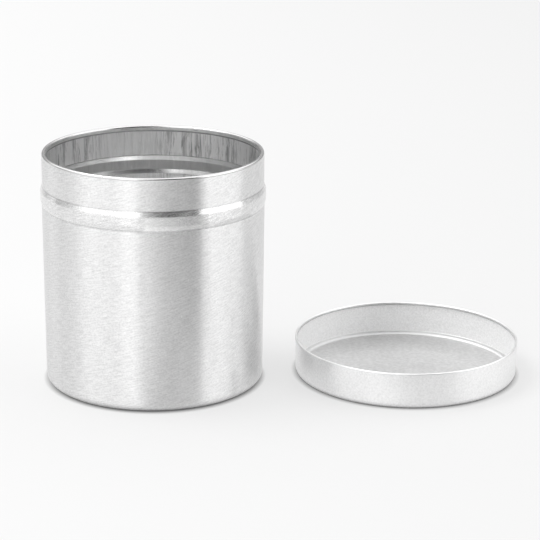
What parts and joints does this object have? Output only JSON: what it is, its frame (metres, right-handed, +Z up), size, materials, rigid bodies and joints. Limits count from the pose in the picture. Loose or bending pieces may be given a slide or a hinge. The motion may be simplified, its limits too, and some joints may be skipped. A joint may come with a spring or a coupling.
{
  "type": "candle tin",
  "caption": "Round drawn metal candle tin with a rolled rim and a bead that stops the lid; its slip-on lid lies open side up beside it.",
  "frame": {"origin": "centre of the tin's flat underside, on the surface that the tin and its lid stand on", "axes": "+Z up along the tin's axis, out of its mouth; +X from the tin towards the lid that lies beside it; +Y completes the right-handed frame"},
  "size_m": [0.1754, 0.0826, 0.0855],
  "materials": {
    "brushed_tin": "fine brushing round the outside, vertical drawing marks inside, burnished rolled rim",
    "satin_lid": "satin, even and fine grained, with a bright ring inside where the skirt meets the panel"
  },
  "bodies": {
    "tin": {"tin_body": "brushed_tin"},
    "lid": {"lid": "satin_lid"}
  },
  "joints": [
    {"name": "lid_turnover", "type": "hinge", "parent": "tin", "child": "lid", "pos_m": [0.04675, 0, 0.0499], "axis": [0, -1, 0], "range_deg": [0, 180]}
  ]
}
